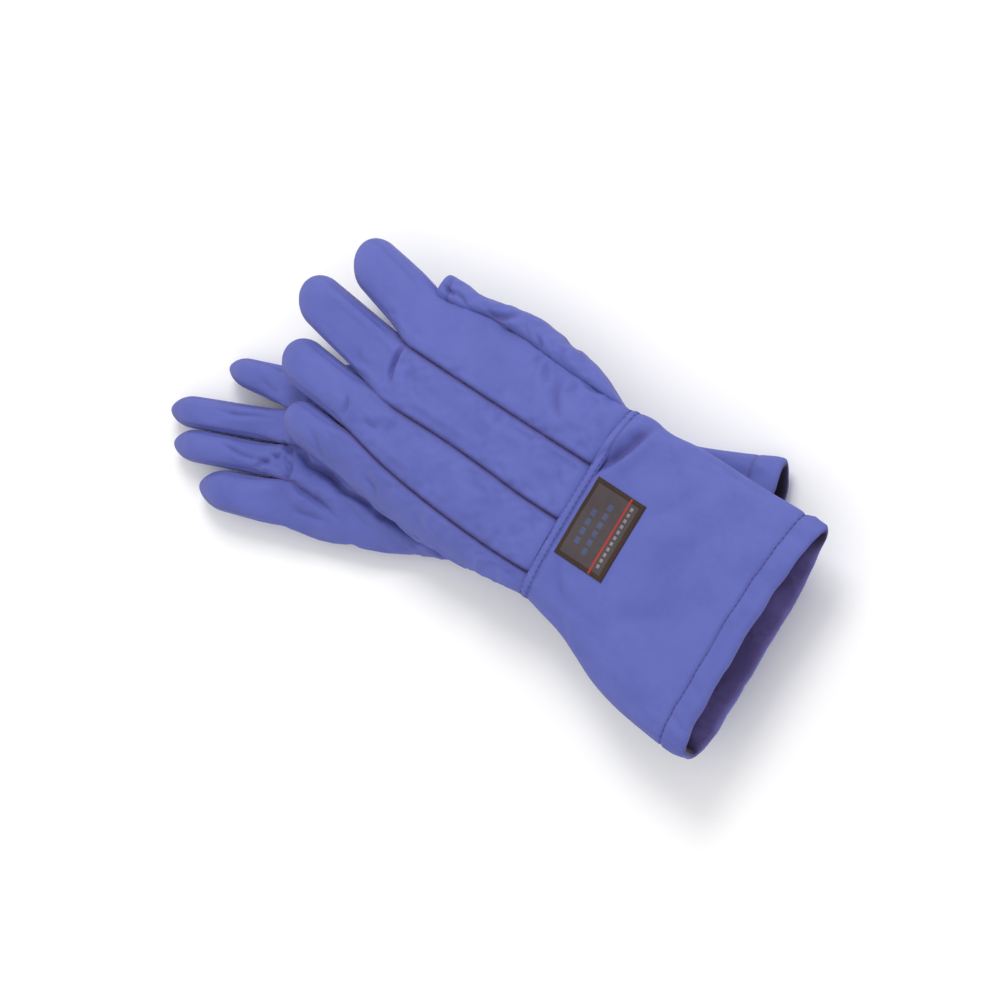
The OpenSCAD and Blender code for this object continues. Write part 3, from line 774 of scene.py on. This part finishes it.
def drape(x, phi, seed):
    """Slow folds along the cuff, stronger towards the mouth, and gathers at the wrist."""
    ring = np.stack([x * 0.4, 46 * np.cos(phi), 30 * np.sin(phi)], -1)
    slow = noise_at(ring, 30, seed).reshape(x.shape) * (0.6 + 1.3 * smooth(30, 140, x))
    mid = noise_at(np.stack([x * 0.8, 60 * np.cos(phi), 40 * np.sin(phi)], -1), 21, seed + 1)
    fine = noise_at(np.stack([x * 0.5, 70 * np.cos(phi), 50 * np.sin(phi)], -1), 9, seed + 2)
    gather = fine.reshape(x.shape) * (0.7 * np.exp(-np.maximum(x - 7, 0) / 16) + 0.1)
    return (slow + 0.45 * mid.reshape(x.shape) + gather) * smooth(-20, 8, x)


def cuff_skin(glove, x, phi, inset):
    """Skin of the cuff with its folds and its hem's groove and puckers, inset below the outer face."""
    g = GLOVES[glove]
    seed = g["cuff_seed"]
    outside = np.clip(1 - inset, 0, 1)
    out = drape(x, phi, seed)
    s, c = np.sin(phi), np.cos(phi)
    y, z = cuff_ring(g, x, inset, phi)
    out = out + 1.5 * creases(CUFF_CREASES[glove], x, y) * (s * g["seen"] > 0) * smooth(0, 0.25, np.abs(s))
    hem = g["mouth"] - HEM
    out = out - 1.3 * g["firm"] * np.exp(-((x - hem) / 1.2) ** 2) * outside
    # The hem twists a little as it is turned in, so its puckers run slantwise
    around = np.stack([(x - hem) * 0.16, y + (x - hem) * 0.5, z], -1)
    pucker = 0.45 - 1.5 * np.abs(noise_at(around, 8.0, seed + 5).reshape(x.shape))
    out = out + 1.9 * g["firm"] * pucker * np.exp(-((x - hem - 6) / 8) ** 2)
    out = out + 0.6 * np.exp(-((x - hem - HEM / 2) / 6) ** 2) * outside
    out = out - 0.9 * np.exp(-np.abs(x - WELT) / 2.5) * outside
    # The mouth's edge waves, and its underside reaches further out than its top
    wave = noise_at(np.stack([0 * x, y, 1.5 * z], -1), 17, seed + 7).reshape(x.shape)
    reach = g["reach"] * -s * g["seen"] + 1.9 * wave
    if glove == "lower":
        reach = reach + 6 * smooth(49, 27, y) * smooth(-20, 12, y)
    reach = reach * smooth(g["mouth"] - 40, g["mouth"], x)
    return slanted(g, x, y) + reach, y + out * c * 0.7, z + out * s


def seam_cut(phi):
    """Depth of the two side seams, where the cuff's panels meet."""
    d = np.minimum(np.abs(np.sin(phi)), 1)
    return 0.9 * np.exp(-(d / 0.012) ** 2)


def cuff_piece(obj, glove, slot, *names):
    """Gives a cuff piece its CAD nodes and its body; only the upper glove's wrist bends. Its slot is not
    used.
    """
    if names:
        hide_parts(*names)
    if glove == "upper":
        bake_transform(obj)
    else:
        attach(obj, "lower_hand")


def build_panels(glove):
    """Outer skin, the rounded edge and the hem turned inside, as a back and a palm panel."""
    g = GLOVES[glove]
    mouth = g["mouth"]
    edge_r = 2.6
    inset_in = 5.7
    row = 1.6
    stations = np.concatenate([[0.5], np.arange(2, mouth - edge_r, row)])
    turn = np.linspace(0, math.pi, 12)[1:]
    back_in = np.arange(mouth - edge_r - row, mouth - HEM - 1, -row)
    along_x = np.concatenate([stations, mouth - edge_r + edge_r * np.sin(turn), back_in])
    insets = np.concatenate([0 * stations, inset_in / 2 * (1 - np.cos(turn)), inset_in + 0 * back_in])
    # Points lie closer together towards the side seams
    even = np.linspace(0, math.pi, AROUND // 2 + 1)
    spread = (math.pi * (1 - np.cos(even)) / 2 + even) / 2
    for half, first, nodes in (("back", 0, ("cuff_back", "cuff_insulation")),
                               ("palm", math.pi, ("cuff_palm", "hem_facing"))):
        phi = first + spread
        xx = along_x[:, None] + 0 * phi[None, :]
        inset = insets[:, None] + 0 * xx
        pp = phi[None, :] + 0 * xx
        X, Y, Z = cuff_skin(glove, xx, pp, inset)
        cut = seam_cut(pp) * (inset < 1)
        Y -= cut * np.cos(pp)
        verts = np.stack([X, Y, Z], -1).reshape(-1, 3)
        along = np.concatenate([[0], np.cumsum(np.hypot(np.diff(xx[:, 0]), np.diff(inset[:, 0])))])
        uv = np.stack([along[:, None] + 0 * pp, pp * half_w(g, xx)], -1).reshape(-1, 2)
        faces = [tuple(reversed(f)) for f in grid_faces(len(along_x), len(phi))]
        # Painted shade down in the hem's groove, along the welt's edge and in the folds' creases
        dark = 0.45 * np.exp(-((xx - (mouth - HEM)) / 0.9) ** 2)
        dark = dark + 0.75 * np.exp(-((xx - WELT - 0.4) / 0.8) ** 2)
        # Painted shade inside the mouth: darker at its two corners, and all over in the lower glove's
        corner = smooth(0.8, 0.99, np.abs(np.cos(pp)))
        inside = 0.88 if glove == "lower" else 0.15 + 0.75 * corner
        folds = creases(CUFF_CREASES[glove], X, Y) * ((np.sin(pp) > 0) == (glove == "upper"))
        dark = dark + 0.16 * np.clip(-folds - 0.5, 0, 3)
        dark = dark * (inset < 1) + inside * smooth(1.0, 3.5, inset)
        obj = make_object(f"{glove}_cuff_{half}_panel", verts, faces, PLACES[glove], NYLON, uv, dark)
        obj.data.materials.append(FACING)
        # From halfway round the edge on, the inside's cloth
        split = len(stations) + 6
        per_row = len(phi) - 1
        index = [1 if i // per_row >= split else 0 for i in range(len(faces))]
        obj.data.polygons.foreach_set("material_index", index)
        cuff_piece(obj, glove, "nylon_shell", *[f"{glove}_{n}" for n in nodes])


def full_turn():
    return np.linspace(0, 2 * math.pi, AROUND, endpoint=False)


def build_lining(glove):
    """From under the hem back to the wrist, and on into the hand as a pocket."""
    g = GLOVES[glove]
    phi = full_turn()
    xs = np.arange(g["mouth"] - HEM + 1, g["knuckle"] + 12, -2.5)
    xx = xs[:, None] + 0 * phi[None, :]
    pp = phi[None, :] + 0 * xx
    X, Y, Z = cuff_skin(glove, xx, pp, LINING_IN)
    folds = noise_at(np.stack([xx * 0.25, 50 * np.cos(pp), 50 * np.sin(pp)], -1), 10, 21).reshape(xx.shape)
    Z = Z * (1 - 0.06 * folds) * (1 - 0.16 * smooth(-2, -14, xx))
    Z = Z - 1.3 * hang(g, xx, Y)
    Y = Y + 2.5 * smooth(-25, -75, Y) * smooth(-2, -40, xx)
    verts = np.stack([X, Y, Z], -1).reshape(-1, 3)
    uv = np.stack([xx, pp * 50], -1).reshape(-1, 2)
    faces = grid_faces(len(xs), AROUND, wrap=True)
    n = len(verts)
    verts = np.vstack([verts, [xs[-1] - 3, middle_y(g, xs[-1]), 0]])
    uv = np.vstack([uv, [xs[-1] - 3, 0]])
    last = (len(xs) - 1) * AROUND
    faces += [(last + i, last + (i + 1) % AROUND, n) for i in range(AROUND)]
    obj = make_object(f"{glove}_lining", verts, faces, PLACES[glove], LINING, uv)
    cuff_piece(obj, glove, "liner", f"{glove}_cuff_lining", f"{glove}_hand_liner")


def build_welt(glove):
    """The band over the wrist seam, with a row of stitches along each edge."""
    g = GLOVES[glove]
    phi = full_turn()
    x0, x1 = WELT_X, WELT_X + WELT
    # Its section: x, and height over the cuff's skin
    prof = [(x0 - 0.9, -2.2), (x0 - 0.4, -1.1), (x0 + 0.2, -0.3), (x0 + 0.9, 0.1), (x0 + 1.6, 0.35),
            (x0 + 2.4, 0.5), (x1 - 2.2, 0.5), (x1 - 1.5, 0.3), (x1 - 0.8, 0.0), (x1 - 0.1, -0.5),
            (x1 + 0.5, -1.6)]
    px, ph = np.array(prof).T
    xx = px[:, None] + 0 * phi[None, :]
    pp = phi[None, :] + 0 * xx
    ring = np.stack([xx * 0.4, 60 * np.cos(pp), 60 * np.sin(pp)], -1)
    gather = 0.22 * noise_at(ring, 5, 31).reshape(xx.shape)
    Y, Z = cuff_ring(g, xx, 0.0, pp, extra=ph[:, None] + gather)
    verts = np.stack([slanted(g, xx, Y), Y, Z], -1).reshape(-1, 3)
    uv = np.stack([xx, pp * half_w(g, xx)], -1).reshape(-1, 2)
    faces = [tuple(reversed(f)) for f in grid_faces(len(prof), AROUND, wrap=True)]
    obj = make_object(f"{glove}_wrist_welt_band", verts, faces, PLACES[glove], NYLON, uv)
    cuff_piece(obj, glove, "nylon_shell", f"{glove}_wrist_welt")
    for name, at, off in (("welt_stitches_hand", x0 + 0.7, 0.0), ("welt_stitches_cuff", x1 - 0.6, -0.05)):
        ring_phi = np.linspace(0, 2 * math.pi, 721)
        Y, Z = cuff_ring(g, at + 0 * ring_phi, 0.0, ring_phi, extra=off)
        path = np.stack([slanted(g, at + 0 * Y, Y), Y, Z], -1)
        obj = stitches(f"{glove}_{name}", path, 0.22, PLACES[glove])
        cuff_piece(obj, glove, "thread")


def build_hem_stitches(glove):
    ring_phi = np.linspace(0, 2 * math.pi, 1441)
    hem_x = GLOVES[glove]["mouth"] - HEM + 0 * ring_phi
    X, Y, Z = cuff_skin(glove, hem_x, ring_phi, 0.0 * ring_phi)
    obj = stitches(f"{glove}_hem_stitches", np.stack([X, Y, Z], -1), 0.32, PLACES[glove], lift=0.15)
    cuff_piece(obj, glove, "thread", f"{glove}_hem_thread")


# ---- stitching ----

def stitches(name, path, radius, place, length=2.7, gap=1.1, lift=0.0, thread=None):
    """A row of separate thread stitches along a path of points."""
    path = np.asarray(path, float)
    step = np.linalg.norm(np.diff(path, axis=0), axis=1)
    s = np.concatenate([[0], np.cumsum(step)])
    count = max(1, int(s[-1] // (length + gap)))
    pitch = s[-1] / count
    verts, faces = [], []
    profile = [(0.0, 0.25), (0.18, 0.85), (0.5, 1.0), (0.82, 0.85), (1.0, 0.25)]
    sides = 6
    for n in range(count):
        a = n * pitch
        centre = [np.array([np.interp(a + u * (pitch - gap), s, path[:, i]) for i in range(3)])
                  for u, _ in profile]
        axis = centre[-1] - centre[0]
        if np.linalg.norm(axis) < 1e-6:
            continue
        axis = axis / np.linalg.norm(axis)
        up = np.array([0, 0, 1.0]) if abs(axis[2]) < 0.9 else np.array([1.0, 0, 0])
        across = np.cross(axis, up)
        across /= np.linalg.norm(across)
        up = np.cross(across, axis)
        base = len(verts)
        for (u, r), p in zip(profile, centre):
            sink = -0.25 * radius * (1 - r)
            for i in range(sides):
                t = 2 * math.pi * i / sides
                verts.append(p + radius * r * (across * math.cos(t) + up * math.sin(t)) + up * (sink + lift))
        faces += grid_faces(len(profile), sides, wrap=True, start=base)
        faces.append(tuple(base + i for i in reversed(range(sides))))
        faces.append(tuple(base + (len(profile) - 1) * sides + i for i in range(sides)))
    verts = np.array(verts)
    uv = verts[:, :2]
    return make_object(name, verts, faces, place, thread or THREAD, uv)


# How deep the channel stitches lie below the hand's skin
GROOVE = 4.5


def build_channel_stitches(glove):
    """A row of stitches down in each of the three channel lines."""
    g = GLOVES[glove]
    for k in (1, 2, 3):
        x = np.arange(-6, g["knuckle"] + 2, -1.0)
        y = line_y(g, k, x)
        z = height(g, x, y) - GROOVE - wrist_dip(x) + wrinkle(x, y, g["hand_seed"]) - hang(g, x, y)
        obj = stitches(f"{glove}_channel_stitches_{k}", np.stack([x, y, z], -1), 0.3, PLACES[glove], lift=0.2)
        if k == 1:
            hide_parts(f"{glove}_channel_thread")
        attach(obj, f"{glove}_hand")


# ---- label ----

# Where the label starts along the cuff and how long it is, then its middle across and its width
LABEL_X, LABEL_L = 9.0, 38.0
LABEL_Y, LABEL_W = -5.5, 54.0


def on_cuff(glove, x, y):
    """Height of the cuff's back skin at (x, y), folds included."""
    g = GLOVES[glove]
    s = np.clip((y - middle_y(g, x)) / half_w(g, x), -1, 1)
    near_mouth = smooth(40, g["mouth"], x)
    p = SECTION_P + near_mouth * (np.where(s > 0, *g["mouth_p"]) - SECTION_P)
    phi = np.arccos(np.clip(power(s, p / 2), -1, 1))
    return cuff_skin(glove, x, phi, 0.0 * x)[2]


def label_patch(name, glove, x0, x1, y0, y1, low, high, mat, bevel=0.5, step=1.0):
    """A thin patch with rounded edges on the cuff, from low to high over its skin."""
    nx, ny = max(3, int((x1 - x0) / step)), max(3, int((y1 - y0) / step))
    bevel = min(bevel, (x1 - x0) / 3, (y1 - y0) / 3)

    def spaced(a, b, n):
        inner = np.linspace(a + bevel, b - bevel, n)
        return np.concatenate([[a, a, a + bevel * 0.3], inner, [b - bevel * 0.3, b, b]])

    xs, ys = spaced(x0, x1, nx), spaced(y0, y1, ny)
    xx, yy = np.meshgrid(xs, ys, indexing="ij")
    base = on_cuff(glove, xx, yy)

    def rise(v, a, b):
        d = np.clip(np.minimum(v - a, b - v) / bevel, 0, 1)
        return np.sqrt(np.clip(1 - (1 - d) ** 2, 0, 1))

    up = np.minimum(rise(xx, x0, x1), rise(yy, y0, y1))
    up = low + (high - low) * (0.35 + 0.65 * up)
    up[0, :] = up[-1, :] = low
    up[:, 0] = up[:, -1] = low
    verts = np.stack([xx, yy, base + up], -1).reshape(-1, 3)
    uv = verts[:, :2]
    faces = grid_faces(len(xs), len(ys))
    obj = make_object(name, verts, faces, PLACES[glove], mat, uv)
    cuff_piece(obj, glove, "label")
    return obj


def build_label(glove):
    x0, x1 = LABEL_X, LABEL_X + LABEL_L
    y0, y1 = LABEL_Y - LABEL_W / 2, LABEL_Y + LABEL_W / 2
    patch = label_patch("upper_label_border", glove, x0, x1, y0, y1, -0.4, 1.1, BORDER, bevel=0.9)
    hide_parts("upper_label")
    rim = 3.0
    label_patch("upper_label_field", glove, x0 + rim, x1 - rim, y0 + rim, y1 - rim, 0.7, 1.32, LABEL)
    stripe_x = x1 - 11.0
    label_patch("upper_label_stripe", glove, stripe_x, stripe_x + 1.5, y0 + 0.6, y1 - 0.6,
                1.1, 1.5, STRIPE, bevel=0.3, step=0.8)
    # Plain dashes and squares stand where the lettering would be
    count = 11
    pitch = (LABEL_W - 2 * rim - 4) / count
    for i in range(count):
        y = y1 - rim - 2 - i * pitch
        label_patch(f"upper_label_dash_{i}", glove, stripe_x + 3.0, stripe_x + 5.2, y - pitch * 0.62, y,
                    1.1, 1.42, PALE, bevel=0.25, step=0.7)
    for row, (first, last, parts) in enumerate(((0.22, 0.7, 4), (0.16, 0.84, 6))):
        x = x0 + rim + 5.5 + row * 8.0
        share = (last - first) / parts
        for i in range(parts):
            low = y0 + LABEL_W * (first + share * i)
            label_patch(f"upper_label_block_{row}_{i}", glove, x, x + 3.6, low, low + LABEL_W * share * 0.72,
                        1.1, 1.4, BLUISH, bevel=0.3, step=0.8)
    # Its own stitching, round the border
    inset = 1.3
    path = []
    corners = [(x0 + inset, y0 + inset), (x1 - inset, y0 + inset), (x1 - inset, y1 - inset),
               (x0 + inset, y1 - inset), (x0 + inset, y0 + inset)]
    for (ax, ay), (bx, by) in zip(corners, corners[1:]):
        t = np.linspace(0, 1, 60)
        path.append(np.stack([ax + (bx - ax) * t, ay + (by - ay) * t], -1))
    path = np.concatenate(path)
    z = on_cuff(glove, path[:, 0], path[:, 1]) + 1.1
    obj = stitches("upper_label_stitches", np.column_stack([path, z]), 0.26, PLACES[glove],
                   length=1.9, gap=0.8, thread=DARK_THREAD)
    cuff_piece(obj, glove, "thread", "upper_label_thread")


# ---- camera, light and floor ----

def build_camera():
    elevation = math.radians(65)
    toward = Vector((0.976, 0.216, 0)).normalized()
    back = toward * math.cos(elevation) + Vector((0, 0, math.sin(elevation)))
    slope = (toward - back * toward.dot(back)).normalized()
    side = back.cross(slope)
    roll = math.radians(19.8)
    right = slope * math.cos(roll) + side * math.sin(roll)
    up = back.cross(right)
    wrist = PLACES["upper"] @ Vector((0, 0, 0))
    aim = wrist - right * 0.0469 + up * 0.0009
    distance = 4.0
    data = bpy.data.cameras.new("camera")
    data.sensor_width = 36
    data.lens = 235.6
    data.clip_end = 20
    camera = bpy.data.objects.new("camera", data)
    axes = Matrix((right, up, back)).transposed().to_4x4()
    camera.matrix_world = Matrix.Translation(aim + back * distance) @ axes
    bpy.context.scene.collection.objects.link(camera)
    bpy.context.scene.camera = camera


def build_stage():
    m, _, _, shader = material("floor")
    shader.inputs["Base Color"].default_value = (0.9, 0.9, 0.9, 1)
    shader.inputs["Roughness"].default_value = 0.9
    bpy.ops.mesh.primitive_plane_add(size=6, location=(0, 0, 0))
    floor = bpy.context.object
    floor.name = "floor"
    floor.data.materials.append(m)
    world = bpy.data.worlds.new("studio")
    world.use_nodes = True
    light = world.node_tree.nodes["Background"]
    light.inputs["Color"].default_value = (1, 1, 1, 1)
    light.inputs["Strength"].default_value = 0.86
    bpy.context.scene.world = world

    def lamp(name, place, target, size, power_w):
        data = bpy.data.lights.new(name, "AREA")
        data.size = size
        data.energy = power_w
        lamp_obj = bpy.data.objects.new(name, data)
        lamp_obj.location = place
        direction = Vector(target) - Vector(place)
        lamp_obj.rotation_euler = direction.to_track_quat("-Z", "Y").to_euler()
        bpy.context.scene.collection.objects.link(lamp_obj)

    lamp("key", (-0.45, 1.0, 1.4), (0, 0, 0), 0.7, 14)
    lamp("fill", (1.1, -0.6, 1.2), (0, 0, 0), 1.4, 3)
    bpy.context.scene.view_settings.view_transform = "Standard"


for glove_name in ("lower", "upper"):
    build_hand(glove_name)
    build_thumb(glove_name)
    build_panels(glove_name)
    build_lining(glove_name)
    build_welt(glove_name)
    build_hem_stitches(glove_name)
    build_channel_stitches(glove_name)
build_label("upper")
build_camera()
build_stage()
